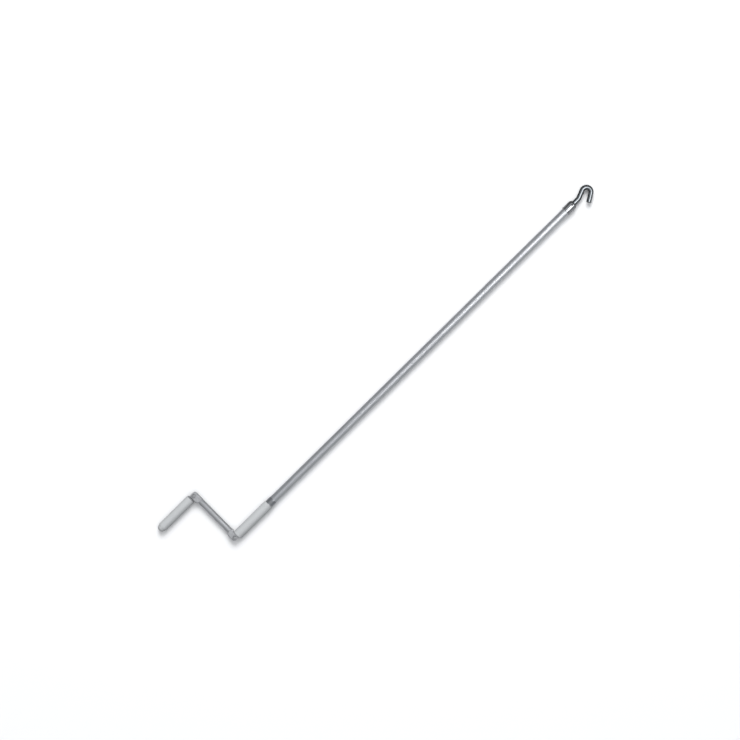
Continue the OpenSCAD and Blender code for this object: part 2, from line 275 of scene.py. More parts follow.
def stretchedVector(nodes, links, vector, stretch):
    node = nodes.new("ShaderNodeVectorMath")
    node.operation = "MULTIPLY"
    links.new(vector, node.inputs[0])
    links.new(stretch, node.inputs[1])
    return node.outputs[0]


def grainGroup():
    # Long fine scratches: noise on coordinates that are squeezed along the grain.
    group, nodes, links, given, result = newGroup("drawnGrain", [
        ("Vector", "NodeSocketVector", (0, 0, 0)), ("Stretch", "NodeSocketVector", (30, 2600, 2600)),
        ("Contrast", "NodeSocketFloat", 1.0)], [("Grain", "NodeSocketFloat"), ("Streak", "NodeSocketFloat")])
    vector = stretchedVector(nodes, links, given.outputs["Vector"], given.outputs["Stretch"])
    fine = noiseNode(nodes, links, vector, 1.0, 5.0, 0.65)
    broad = noiseNode(nodes, links, vector, 0.17, 3.0, 0.5)
    centred = mathNode(nodes, links, "SUBTRACT", fine, 0.5)
    lifted = mathNode(nodes, links, "MULTIPLY_ADD", centred, given.outputs["Contrast"], 0.5)
    links.new(lifted, result.inputs["Grain"])
    links.new(broad, result.inputs["Streak"])
    return group


def handlingGroup():
    # Smudges and small dull patches: broad noise pushed through a ramp, broken up by a finer one.
    group, nodes, links, given, result = newGroup("handling", [
        ("Vector", "NodeSocketVector", (0, 0, 0)), ("Scale", "NodeSocketFloat", 60.0),
        ("Cover", "NodeSocketFloat", 0.5)], [("Smudge", "NodeSocketFloat")])
    broad = noiseNode(nodes, links, given.outputs["Vector"], given.outputs["Scale"], 5.0, 0.6)
    fineScale = mathNode(nodes, links, "MULTIPLY", given.outputs["Scale"], 14.0)
    fine = noiseNode(nodes, links, given.outputs["Vector"], fineScale, 3.0, 0.6)
    edge = mathNode(nodes, links, "SUBTRACT", broad, given.outputs["Cover"])
    ramp = mathNode(nodes, links, "MULTIPLY_ADD", edge, 3.5, 0.5)
    mixed = mathNode(nodes, links, "MULTIPLY", ramp, fine)
    clamp = nodes.new("ShaderNodeClamp")
    links.new(mixed, clamp.inputs["Value"])
    links.new(clamp.outputs[0], result.inputs["Smudge"])
    return group


def castGroup():
    # A die-cast skin: soft hollows with a fine tooth over them, and a few pits.
    group, nodes, links, given, result = newGroup("castSkin", [
        ("Vector", "NodeSocketVector", (0, 0, 0)), ("Scale", "NodeSocketFloat", 900.0)],
        [("Height", "NodeSocketFloat")])
    soft = noiseNode(nodes, links, given.outputs["Vector"], given.outputs["Scale"], 2.0, 0.5)
    toothScale = mathNode(nodes, links, "MULTIPLY", given.outputs["Scale"], 5.0)
    tooth = noiseNode(nodes, links, given.outputs["Vector"], toothScale, 3.0, 0.6)
    cells = nodes.new("ShaderNodeTexVoronoi")
    links.new(given.outputs["Vector"], cells.inputs["Vector"])
    links.new(given.outputs["Scale"], cells.inputs["Scale"])
    pit = mathNode(nodes, links, "LESS_THAN", cells.outputs["Distance"], 0.09)
    height = mathNode(nodes, links, "MULTIPLY_ADD", tooth, 0.35, soft)
    sunk = mathNode(nodes, links, "MULTIPLY_ADD", pit, -0.25, height)
    links.new(sunk, result.inputs["Height"])
    return group


def ringGroup():
    # The fine rings that a lathe leaves: a wave along the turned axis, blurred by noise.
    group, nodes, links, given, result = newGroup("latheRings", [
        ("Vector", "NodeSocketVector", (0, 0, 0)), ("Pitch", "NodeSocketFloat", 1600.0),
        ("Wander", "NodeSocketFloat", 2.0)], [("Ring", "NodeSocketFloat")])
    wave = nodes.new("ShaderNodeTexWave")
    wave.wave_type, wave.bands_direction = "BANDS", "X"
    links.new(given.outputs["Vector"], wave.inputs["Vector"])
    links.new(given.outputs["Pitch"], wave.inputs["Scale"])
    links.new(given.outputs["Wander"], wave.inputs["Distortion"])
    links.new(wave.outputs["Fac"], result.inputs["Ring"])
    return group


drawnGrain, handling, castSkin, latheRings = grainGroup(), handlingGroup(), castGroup(), ringGroup()


class Maker:
    # A small helper that keeps one material's nodes, links and shader together.
    def __init__(self, name, roughness, metallic):
        self.material = bpy.data.materials.new(name)
        self.material.use_nodes = True
        self.nodes, self.links = self.material.node_tree.nodes, self.material.node_tree.links
        self.shader = self.nodes["Principled BSDF"]
        self.shader.inputs["Roughness"].default_value = roughness
        self.shader.inputs["Metallic"].default_value = metallic
        self.where = self.nodes.new("ShaderNodeTexCoord").outputs["Object"]

    def use(self, group, **values):
        node = self.nodes.new("ShaderNodeGroup")
        node.node_tree = group
        self.links.new(self.where, node.inputs["Vector"])
        for label, value in values.items():
            node.inputs[label].default_value = value
        return node.outputs

    def calc(self, operation, first, second, third=None):
        return mathNode(self.nodes, self.links, operation, first, second, third)

    def blend(self, mask, dark, light):
        node = self.nodes.new("ShaderNodeMix")
        node.data_type = "RGBA"
        self.links.new(mask, node.inputs["Factor"])
        for label, value in (("A", dark), ("B", light)):
            socket = next(s for s in node.inputs if s.name == label and s.type == "RGBA")
            if isinstance(value, tuple):
                socket.default_value = (*value, 1.0)
            else:
                self.links.new(value, socket)
        return next(s for s in node.outputs if s.type == "RGBA")

    def ramp(self, value, low, high):
        node = self.nodes.new("ShaderNodeMapRange")
        node.interpolation_type = "SMOOTHSTEP"
        self.links.new(value, node.inputs["Value"])
        node.inputs["From Min"].default_value = low
        node.inputs["From Max"].default_value = high
        return node.outputs["Result"]

    def colour(self, value):
        self.links.new(value, self.shader.inputs["Base Color"])

    def rough(self, value):
        self.links.new(value, self.shader.inputs["Roughness"])

    def bump(self, height, distance, strength=1.0):
        node = self.nodes.new("ShaderNodeBump")
        node.inputs["Distance"].default_value = distance * mm
        node.inputs["Strength"].default_value = strength
        self.links.new(height, node.inputs["Height"])
        self.links.new(node.outputs["Normal"], self.shader.inputs["Normal"])


def drawnMetal(name, look):
    # Drawn or rolled metal, with its grain along one axis.
    make = Maker(name, look["roughness"], 1.0)
    grain = make.use(drawnGrain, Stretch=look["stretch"], Contrast=look["contrast"])
    marks = make.use(handling, Scale=look["smudgeScale"], Cover=look["cover"])
    tone = make.blend(grain["Grain"], look["dark"], look["light"])
    make.colour(make.blend(make.calc("MULTIPLY", marks["Smudge"], look["smudge"]), tone, look["dull"]))
    streaked = make.calc("MULTIPLY_ADD", grain["Streak"], look["roughSwing"], look["roughness"])
    make.rough(make.calc("MULTIPLY_ADD", marks["Smudge"], 0.12, streaked))
    make.bump(grain["Grain"], look["grainDepth"], 0.5)
    return make.material


def turnedMetal(name, look):
    # Turned and plated metal, with lathe rings round one axis.
    make = Maker(name, look["roughness"], 1.0)
    rings = make.use(latheRings, Pitch=look["pitch"], Wander=look["wander"])
    marks = make.use(handling, Scale=look["smudgeScale"], Cover=look["cover"])
    tone = make.blend(rings["Ring"], look["dark"], look["light"])
    make.colour(make.blend(make.calc("MULTIPLY", marks["Smudge"], look["smudge"]), tone, look["dull"]))
    make.rough(make.calc("MULTIPLY_ADD", marks["Smudge"], 0.15, look["roughness"]))
    make.bump(rings["Ring"], look["ringDepth"], 0.5)
    return make.material


def castMetal(name, look):
    # Die-cast metal with a toothed skin, duller in its pits.
    make = Maker(name, look["roughness"], look["metallic"])
    skin = make.use(castSkin, Scale=look["scale"])
    marks = make.use(handling, Scale=look["smudgeScale"], Cover=look["cover"])
    tone = make.blend(skin["Height"], look["dark"], look["light"])
    make.colour(make.blend(make.calc("MULTIPLY", marks["Smudge"], look["smudge"]), tone, look["dull"]))
    make.rough(make.calc("MULTIPLY_ADD", skin["Height"], 0.14, look["roughness"] - 0.07))
    make.bump(skin["Height"], look["depth"], 0.6)
    return make.material


def mouldedPlastic(name, look):
    # Moulded plastic with a fine tooth, faint mottling and a little handling dirt.
    make = Maker(name, look["roughness"], 0.0)
    make.shader.inputs["IOR"].default_value = look["ior"]
    make.shader.inputs["Specular IOR Level"].default_value = look["specular"]
    skin = make.use(castSkin, Scale=look["scale"])
    marks = make.use(handling, Scale=look["smudgeScale"], Cover=look["cover"])
    tone = make.blend(skin["Height"], look["dark"], look["light"])
    make.colour(make.blend(make.calc("MULTIPLY", marks["Smudge"], look["smudge"]), tone, look["dull"]))
    make.rough(make.calc("MULTIPLY_ADD", marks["Smudge"], 0.1, look["roughness"]))
    make.bump(skin["Height"], look["depth"], 0.4)
    return make.material


tubeFinish = drawnMetal("drawnSteelTube", {
    "roughness": 0.44, "roughSwing": 0.12, "stretch": (9, 2400, 2400), "contrast": 1.6, "grainDepth": 0.004,
    "dark": (0.54, 0.555, 0.58), "light": (0.8, 0.815, 0.84), "dull": (0.48, 0.49, 0.51),
    "smudgeScale": 26.0, "cover": 0.56, "smudge": 0.35})
armFinish = drawnMetal("rolledAluminiumArm", {
    "roughness": 0.38, "roughSwing": 0.1, "stretch": (2600, 20, 2600), "contrast": 1.5, "grainDepth": 0.004,
    "dark": (0.55, 0.56, 0.575), "light": (0.78, 0.79, 0.805), "dull": (0.48, 0.485, 0.5),
    "smudgeScale": 45.0, "cover": 0.55, "smudge": 0.35})
hookFinish = drawnMetal("platedHookSteel", {
    "roughness": 0.1, "roughSwing": 0.06, "stretch": (420, 420, 420), "contrast": 0.8, "grainDepth": 0.003,
    "dark": (0.17, 0.182, 0.194), "light": (0.285, 0.302, 0.316), "dull": (0.12, 0.128, 0.136),
    "smudgeScale": 120.0, "cover": 0.55, "smudge": 0.4})
socketFinish = turnedMetal("turnedPlatedSteel", {
    "roughness": 0.21, "pitch": 900.0, "wander": 1.2, "ringDepth": 0.004,
    "dark": (0.36, 0.37, 0.385), "light": (0.56, 0.57, 0.585), "dull": (0.26, 0.268, 0.28),
    "smudgeScale": 90.0, "cover": 0.55, "smudge": 0.35})
collarFinish = turnedMetal("rolledCollarSteel", {
    "roughness": 0.3, "pitch": 700.0, "wander": 2.0, "ringDepth": 0.004,
    "dark": (0.33, 0.34, 0.36), "light": (0.5, 0.51, 0.535), "dull": (0.24, 0.25, 0.265),
    "smudgeScale": 90.0, "cover": 0.53, "smudge": 0.4})
castFinish = castMetal("dieCastZinc", {
    "roughness": 0.42, "metallic": 0.85, "scale": 520.0, "depth": 0.02,
    "dark": (0.42, 0.426, 0.436), "light": (0.68, 0.686, 0.7), "dull": (0.28, 0.285, 0.295),
    "smudgeScale": 110.0, "cover": 0.53, "smudge": 0.4})
gripFinish = mouldedPlastic("palePlasticGrip", {
    "roughness": 0.46, "ior": 1.5, "specular": 0.45, "scale": 700.0, "depth": 0.008,
    "dark": (0.42, 0.432, 0.438), "light": (0.49, 0.503, 0.51), "dull": (0.37, 0.376, 0.38),
    "smudgeScale": 38.0, "cover": 0.55, "smudge": 0.3})
plugFinish = mouldedPlastic("palePlasticPlug", {
    "roughness": 0.4, "ior": 1.5, "specular": 0.5, "scale": 700.0, "depth": 0.008,
    "dark": (0.41, 0.421, 0.427), "light": (0.48, 0.492, 0.498), "dull": (0.36, 0.366, 0.37),
    "smudgeScale": 60.0, "cover": 0.55, "smudge": 0.3})
pinFinish = castMetal("darkSpringSteel", {
    "roughness": 0.34, "metallic": 1.0, "scale": 1400.0, "depth": 0.008,
    "dark": (0.04, 0.04, 0.043), "light": (0.1, 0.1, 0.106), "dull": (0.03, 0.029, 0.028),
    "smudgeScale": 300.0, "cover": 0.5, "smudge": 0.5})
rivetFinish = castMetal("peenedRivetSteel", {
    "roughness": 0.44, "metallic": 1.0, "scale": 900.0, "depth": 0.02,
    "dark": (0.46, 0.466, 0.474), "light": (0.66, 0.666, 0.676), "dull": (0.3, 0.303, 0.31),
    "smudgeScale": 200.0, "cover": 0.5, "smudge": 0.5})
washerFinish = mouldedPlastic("blackNylon", {
    "roughness": 0.5, "ior": 1.52, "specular": 0.4, "scale": 1500.0, "depth": 0.006,
    "dark": (0.018, 0.018, 0.02), "light": (0.035, 0.035, 0.038), "dull": (0.07, 0.07, 0.07),
    "smudgeScale": 150.0, "cover": 0.55, "smudge": 0.4})
print("materials made")


# the pole

fit = {"seat": 0.03, "throughHole": 40.0}  # play round each fitted piece, and the depth of a through hole
pinHoles = {"spring": 2.0 + fit["seat"], "dowel": 1.5 + fit["seat"]}
pole = {"wall": 1.0, "endSoft": 0.12, "columns": 192}
tubeLow, tubeHigh = corners("pole_tube")
tubeR = (tubeHigh[1] - tubeLow[1]) / 2 / mm
tubeLen = (tubeHigh[0] - tubeLow[0]) / mm
poleStart = np.array((tubeLow[0], lowerPivot[1], axisHeight))
tubeBore = tubeR - pole["wall"]
tube = turned("poleTube", [(0, tubeBore), (0, tubeR), (tubeLen, tubeR), (tubeLen, tubeBore)],
              pole["endSoft"], poleStart, alongPole, pole["columns"])
drilled(tube, [
    (middle("knuckle_pin"), upwards, pinHoles["spring"], fit["throughHole"]),
    (middle("socket_pin"), alongArm, pinHoles["dowel"], fit["throughHole"])])
place(tube, "pole", "pole_steel", tubeFinish, "pole_tube")

# the hook and its socket

socket = {"bead": 2.6, "groove": 0.6, "grooveDeep": 0.5, "bevel": 3.5, "spigot": 25.0, "mouth": 6.5,
          "bore": 5.0 + fit["seat"], "boreDeep": 27.0, "step": 1.0, "columns": 160}
socketLow, socketHigh = corners("hook_socket")
socketLen = (socketHigh[0] - socketLow[0]) / mm - socket["spigot"]
bodyR = tubeR + socket["step"]
beadR = (socketHigh[1] - socketLow[1]) / 2 / mm
bodyX = socket["bead"] + socket["groove"]
spigotR = tubeBore - fit["seat"]
grooveR = bodyR - socket["grooveDeep"]
boreEnd = socketLen - socket["boreDeep"]
socketOutline = [
    (-socket["spigot"], 0.0), (-socket["spigot"], spigotR), (0.0, spigotR), (0.0, beadR),
    (socket["bead"], beadR), (socket["bead"], grooveR), (bodyX, grooveR), (bodyX, bodyR),
    (socketLen - socket["bevel"], bodyR), (socketLen, socket["mouth"]),
    (socketLen, socket["bore"]), (boreEnd, socket["bore"]), (boreEnd, 0.0)]
socketSoft = [0.0, 0.5, 0.1, 0.7, 0.7, 0.1, 0.1, 0.25, 0.8, 0.35, 0.3, 0.2, 0.0]
socketStart = np.array((socketLow[0] + socket["spigot"] * mm, lowerPivot[1], axisHeight))
socketPiece = turned("hookSocket", socketOutline, socketSoft, socketStart, alongPole, socket["columns"])
drilled(socketPiece, [(middle("hook_pin"), upwards, pinHoles["spring"], fit["throughHole"])])
place(socketPiece, "pole", "socket_steel", socketFinish, "hook_socket")

# the hook: a round bar carried along a path whose heading changes only in the two bends

hook = {"barR": 4.98, "depth": 26.0, "neck": 10.0, "setAngle": 22.0, "setR": 15.0, "shank": 16.0,
        "bendR": 9.2, "turnAngle": 170.0, "leg": 19.6, "endSoft": 0.9, "step": 0.3, "columns": 72}


def hookPath(s):
    # Heading is worked out from the length along the bar, and the place is the running sum of its cosine
    # and sine.
    setLen = math.radians(hook["setAngle"]) * hook["setR"]
    turnLen = math.radians(hook["turnAngle"]) * hook["bendR"]
    knots = np.cumsum([0.0, hook["depth"] + hook["neck"], setLen, hook["shank"], turnLen, hook["leg"]])
    legAngle = hook["setAngle"] - hook["turnAngle"]
    swing = np.radians([0.0, 0.0, hook["setAngle"], hook["setAngle"], legAngle, legAngle])
    fine = np.linspace(0.0, knots[-1], 8001)
    heading = np.interp((fine[1:] + fine[:-1]) / 2, knots, swing)
    pace = fine[1] - fine[0]
    x = np.concatenate([[0.0], np.cumsum(np.cos(heading) * pace)])
    y = np.concatenate([[0.0], np.cumsum(np.sin(heading) * pace)])
    return np.interp(s, fine, x), np.interp(s, fine, y), np.interp(s, knots, swing), knots[-1]


def makeHook():
    # point = place + radius * (cos(a) * side + sin(a) * up), with side square to the path in its own plane.
    # The radius follows a quarter circle at each end, so the cut ends have broken edges.
    length = hookPath(np.array([0.0]))[3]
    soft, flat = hook["endSoft"], hook["barR"] - hook["endSoft"]
    q = np.linspace(0.0, np.pi / 2, 7)
    endS = np.concatenate([np.zeros(3), soft * (1 - np.cos(q))])
    endR = np.concatenate([np.linspace(0.0, flat, 4)[:3], flat + soft * np.sin(q)])
    inner = np.arange(soft + hook["step"], length - soft, hook["step"])
    s = np.concatenate([endS, inner, length - endS[::-1]])
    radius = np.concatenate([endR, np.full(len(inner), hook["barR"]), endR[::-1]])
    x, y, heading, _ = hookPath(s)
    a = np.linspace(0.0, 2 * np.pi, hook["columns"], endpoint=False)
    side = np.stack([-np.sin(heading), np.cos(heading), np.zeros_like(heading)], axis=1)
    centre = np.stack([x, y, np.zeros_like(x)], axis=1)
    ring = np.cos(a)[None, :, None] * side[:, None] + np.sin(a)[None, :, None] * upwards
    points = (centre[:, None] + radius[:, None, None] * ring) * mm
    start = np.array((socketHigh[0] - hook["depth"] * mm, lowerPivot[1], axisHeight))
    points = points.reshape(-1, 3) + start
    piece = putPiece("hookBar", points, gridFaces(len(s), hook["columns"], False, True))
    return drilled(piece, [(middle("hook_pin"), upwards, pinHoles["spring"], fit["throughHole"])])


place(makeHook(), "pole", "hook_steel", hookFinish, "hook")

# the rolled spring pin that holds the hook

springPin = {"outerR": 2.0, "innerR": 1.0, "slit": 24.0, "soft": 0.3, "columns": 40,
             "levels": (0.0, 0.15, 0.5, 1.0), "draw": (0.3, 0.12, 0.03, 0.0)}


def makeSpringPin():
    # A split ring, run along the pin: the outline goes round outside from one side of the slit to the other
    # and back inside, and it draws in a little at both ends.
    low, high = corners("hook_pin")
    length = (high[2] - low[2]) / mm
    a = np.radians(np.linspace(springPin["slit"] / 2, 360 - springPin["slit"] / 2, springPin["columns"]))
    levels = np.array(springPin["levels"]) * springPin["soft"]
    draw = np.array(springPin["draw"])
    z = np.concatenate([levels, length - levels[::-1]]) - length / 2
    shrink = np.concatenate([draw, draw[::-1]])
    outer = springPin["outerR"] - shrink[:, None]
    inner = np.full((len(z), 1), springPin["innerR"])
    loopX = np.concatenate([outer * np.cos(a), inner * np.cos(a[::-1])], axis=1)
    loopY = np.concatenate([outer * np.sin(a), inner * np.sin(a[::-1])], axis=1)
    loopZ = np.broadcast_to(z[:, None], loopX.shape)
    points = np.stack([loopX, loopY, loopZ], axis=2).reshape(-1, 3) * mm + middle("hook_pin")
    columns = loopX.shape[1]
    walls = gridFaces(len(z), columns, False, True)
    k = np.arange(springPin["columns"] - 1)
    cap = np.stack([k, k + 1, columns - 2 - k, columns - 1 - k], axis=1)
    faces = np.concatenate([walls, cap[:, ::-1], cap + (len(z) - 1) * columns])
    return putPiece("hookSpringPin", points, faces)


place(makeSpringPin(), "pole", "pin_steel", pinFinish, "hook_pin")
print("hook made")

# the collar and its blind rivet

collar = {"bore": tubeR + fit["seat"], "lip": 1.5, "lipDrop": 0.49, "columns": 160,
          "rivetR": 3.2, "rivetHigh": 2.2, "mandrelR": 1.0, "mandrelDeep": 0.7, "rivetColumns": 64}
collarLow, collarHigh = corners("retaining_collar")
collarR = (collarHigh[1] - collarLow[1]) / 2 / mm
collarLen = (collarHigh[0] - collarLow[0]) / mm
collarStart = np.array((collarLow[0], lowerPivot[1], axisHeight))
collarPiece = turned("retainingCollar", [
    (0, collar["bore"]), (0, collarR), (collarLen - collar["lip"], collarR),
    (collarLen, collarR - collar["lipDrop"]), (collarLen, collar["bore"])],
    [0.1, 0.3, 0.5, 0.1, 0.05], collarStart, alongPole, collar["columns"])
place(collarPiece, "pole", "socket_steel", collarFinish, "retaining_collar")


def makeCollarRivet():
    # A domed head over a short shank, turned round the rivet's axis. The head's height is 1 - 0.86 r^2.2 of
    # the full height, less a soft dimple where the mandrel broke off, and its rim rolls under.
    low, high = corners("collar_rivet")
    centre = middle("collar_rivet")
    seat = high[2] - collar["rivetHigh"] * mm
    shankR, foot = collar["rivetR"] / 2, (seat - low[2]) / mm
    crown = np.linspace(0.0, 0.985, 22)
    r = np.concatenate([crown, (0.995, 1.0, 0.995, 0.97)]) * collar["rivetR"]
    h = np.concatenate([1 - 0.86 * crown ** 2.2, (0.13, 0.07, 0.03, 0.0)]) * collar["rivetHigh"]
    h -= collar["mandrelDeep"] / (1 + np.exp((r - collar["mandrelR"]) * 9))
    shank = np.array([(0.0, shankR), (-foot, shankR), (-foot, 0.0)])
    profile = np.concatenate([np.stack([h, r], axis=1), shank]) * mm
    points = turnedPoints(profile, np.array((centre[0], centre[1], seat)), upwards, collar["rivetColumns"])
    return putPiece("collarRivet", points, gridFaces(len(profile), collar["rivetColumns"], False, True), 50.0)


place(makeCollarRivet(), "pole", "rivet_steel", rivetFinish, "collar_rivet")
print("collar made")

# the two rolling grips and the domed plug

grips = {"edge": 1.1, "lip": 2.2, "rollPlay": 0.08, "lipHole": 6.62, "spindleR": 5.0, "capDeep": 14.0,
         "capBore": 7.2, "columns": 160}
sleeveBore, gripBore = tubeR + grips["rollPlay"], grips["spindleR"] + grips["rollPlay"]
sleeveLow, sleeveHigh = corners("pole_sleeve")
sleeveR = (sleeveHigh[1] - sleeveLow[1]) / 2 / mm
sleeveLen = (sleeveHigh[0] - sleeveLow[0]) / mm
sleeveStart = np.array((sleeveLow[0], lowerPivot[1], axisHeight))
sleevePiece = turned("poleSleeve", [
    (0, grips["lipHole"]), (0, sleeveR), (sleeveLen, sleeveR), (sleeveLen, sleeveBore),
    (grips["lip"], sleeveBore), (grips["lip"], grips["lipHole"])],
    [0.3, grips["edge"], grips["edge"], 0.25, 0.1, 0.1], sleeveStart, alongPole, grips["columns"])
place(sleevePiece, "pole_grip", "grip_plastic", gripFinish, "pole_sleeve")

gripLow, gripHigh = corners("grip_sleeve")
gripR = (gripHigh[1] - gripLow[1]) / 2 / mm
gripLen = (gripHigh[0] - gripLow[0]) / mm
gripStart = np.array((gripHigh[0], upperPivot[1], axisHeight))
gripPiece = turned("gripSleeve", [
    (0, gripBore), (0, gripR), (gripLen, gripR), (gripLen, grips["capBore"]),
    (gripLen - grips["capDeep"], grips["capBore"]), (gripLen - grips["capDeep"], gripBore)],
    [0.3, grips["edge"], grips["edge"], 0.3, 0.1, 0.1], gripStart, alongHandle, grips["columns"])
place(gripPiece, "handle_grip", "grip_plastic", gripFinish, "grip_sleeve")

plug = {"stem": 7.0, "wall": 1.6, "rim": 0.5, "soft": 0.2, "dish": 1.3, "dishDeep": 0.35, "columns": 128}


def makePlug():
    # A quarter circle from the rim to the tip, with a shallow dish where the mould was filled, over a
    # hollow stem.
    low, high = corners("grip_end_plug")
    plugR = (high[1] - low[1]) / 2 / mm
    t = np.linspace(0.0, np.pi / 2, 30)
    domeX, domeR = plug["rim"] + plugR * np.sin(t), plugR * np.cos(t)
    domeX = domeX - plug["dishDeep"] / (1 + np.exp((domeR - plug["dish"]) * 8))
    dome = np.stack([domeX, domeR], axis=1)
    stem, wall, bore, soft = plug["stem"], plug["wall"], grips["capBore"] - fit["seat"], plug["soft"]
    lower = np.array([(wall, 0.0), (wall, bore - wall), (-stem, bore - wall), (-stem, bore), (0.0, bore),
                      (0.0, plugR - soft), (soft, plugR)])
    profile = np.concatenate([lower, dome]) * mm
    start = np.array((gripLow[0], upperPivot[1], axisHeight))
    points = turnedPoints(profile, start, alongHandle, plug["columns"])
    return putPiece("gripEndPlug", points, gridFaces(len(profile), plug["columns"], False, True))


place(makePlug(), "handle_grip", "cap_plastic", plugFinish, "grip_end_plug")
print("grips made")

# the crank arm

arm = {"wall": 1.5, "endSoft": 0.3, "columns": 144}
barLow, barHigh = corners("arm_bar")
barR = (barHigh[2] - barLow[2]) / 2 / mm
barLen = (barHigh[1] - barLow[1]) / mm
barStart = np.array(((barLow[0] + barHigh[0]) / 2, barLow[1], axisHeight))
barBore = barR - arm["wall"]
barPiece = turned("armBar", [(0, barBore), (0, barR), (barLen, barR), (barLen, barBore)],
                  arm["endSoft"], barStart, alongArm, arm["columns"])
drilled(barPiece, [(middle("fork_pin_" + end), alongPole, pinHoles["dowel"], fit["throughHole"])
                   for end in ("lower", "upper")])
place(barPiece, "crank_arm", "arm_aluminium", armFinish, "arm_bar")

forkCast = {"voxel": 0.25, "passes": 6, "rate": 0.5}
knuckleCast = {"voxel": 0.35, "passes": 3, "rate": 0.4}
spindleCast = {"voxel": 0.35, "passes": 4, "rate": 0.4}
for node, name, body, look in (
        ("arm_fork_lower", "armForkLower", "crank_arm", forkCast),
        ("arm_fork_upper", "armForkUpper", "crank_arm", forkCast),
        ("pole_knuckle", "poleKnuckle", "pole", knuckleCast),
        ("handle_spindle", "handleSpindle", "handle", spindleCast)):
    place(castFrom(node, name, look), body, "cast_zinc", castFinish, node)
print("castings made")

# the hinges: a rivet with two heads, and two washers in each

hinge = {"shankR": 2.5, "headR": 4.25, "headHigh": 1.8, "dimple": 1.2, "dimpleDeep": 0.25, "rivetColumns": 72,
         "washerThick": 0.6, "washerSoft": 0.15, "washerPlay": 0.05, "washerColumns": 64}


def makeHingeRivet(name, node):
    # Two domed heads on one shank: the upper head's outline, and its mirror image below. A head's height is
    # (1 - r^2.4)^0.75 of the full height, less a soft dimple in the middle.
    low, high = corners(node)
    half = (high[2] - low[2]) / 2 / mm
    face = half - hinge["headHigh"]
    r = np.linspace(0.0, 1.0, 26)
    head = hinge["headHigh"] * (1 - r ** 2.4) ** 0.75
    head = head - hinge["dimpleDeep"] / (1 + np.exp((r * hinge["headR"] - hinge["dimple"]) * 8))
    top = np.stack([face + head, r * hinge["headR"]], axis=1)
    neck = np.array([(face, hinge["shankR"])])
    profile = np.concatenate([top, neck, -neck * (1, -1), top[::-1] * (-1, 1)])
    points = turnedPoints(profile * mm, middle(node), upwards, hinge["rivetColumns"])
    return putPiece(name, points, gridFaces(len(profile), hinge["rivetColumns"], False, True), 50.0)


def makeWashers(name, node):
    # Two flat rings with softened rims, one at each end of the node's box.
    low, high = corners(node)
    centre = middle(node)
    outer = (high[0] - low[0]) / 2 / mm
    thick, hole, columns = hinge["washerThick"], hinge["shankR"] + hinge["washerPlay"], hinge["washerColumns"]
    outline = [(0, hole), (0, outer), (thick, outer), (thick, hole)]
    profile = softened(outline, hinge["washerSoft"], 4) * mm
    starts = [np.array((centre[0], centre[1], z)) for z in (low[2], high[2] - thick * mm)]
    points = np.concatenate([turnedPoints(profile, start, upwards, columns) for start in starts])
    faces = gridFaces(len(profile), columns, True, True)
    return putPiece(name, points, np.concatenate([faces, faces + len(profile) * columns]))


for end in ("Lower", "Upper"):
    rivet, washers = "hinge_rivet_" + end.lower(), "friction_washers_" + end.lower()
    place(makeHingeRivet("hingeRivet" + end, rivet), "crank_arm", "rivet_steel", rivetFinish, rivet)
    place(makeWashers("frictionWashers" + end, washers), "crank_arm", "washer_nylon", washerFinish, washers)
print("hinges made")

# the small pins and the screw keep their own solids, with a finish

for node, finish in (("socket_pin", pinFinish), ("knuckle_pin", pinFinish), ("fork_pin_lower", pinFinish),
                     ("fork_pin_upper", pinFinish), ("spindle_washer", rivetFinish),
                     ("spindle_screw", rivetFinish)):
    mesh = frame["nodes"][node].data
    mesh.materials.clear()
    mesh.materials.append(finish)

# the studio: a pale sheet, a camera straight above, and soft lights
# (the painted dark reflection patch's edges are in mm from the socket's mouth and from the pole's axis,
# and the aim is in mm)

# the floor's levels in bounce and gloss, and the dark patch's level, are painted shade and painted reflection
studio = {"floorSize": 12.0, "floorColour": (0.86, 0.863, 0.868), "floorInGloss": 0.5, "floorInBounce": 0.4,
          "darkReflectionLevel": 0.08, "darkReflectionAlong": (-31, 9), "darkReflectionAcross": (-34, -14),
          "cameraHigh": 4.0, "viewWide": 1.48, "cameraTurn": -44.59, "aimX": -23.6, "aimY": -2.4,
          "airColour": (0.95, 0.97, 1.0), "zenith": 0.64, "darkSide": 0.13, "lightSide": 0.22,
          "airInView": 0.98, "sideBlend": (-0.35, 0.35), "heightBlend": (0.25, 0.93)}
lamps = (
    {"name": "keyPanel", "spot": (3.35, 3.25, 5.4), "target": (0, 0, 0), "wide": 4.2, "high": 4.2,
     "power": 472.0, "gloss": False},
    {"name": "overheadPanel", "spot": (-1.0, -1.0, 6.0), "target": (-0.3, -0.3, 0),
     "wide": 6.0, "high": 6.0, "power": 90.0, "gloss": False},
    {"name": "glossPanel", "spot": (0.8, -0.52, 1.5), "target": (0.7, 0, 0), "wide": 1.0, "high": 1.1,
     "power": 3.6, "spread": 90.0, "diffuse": False})


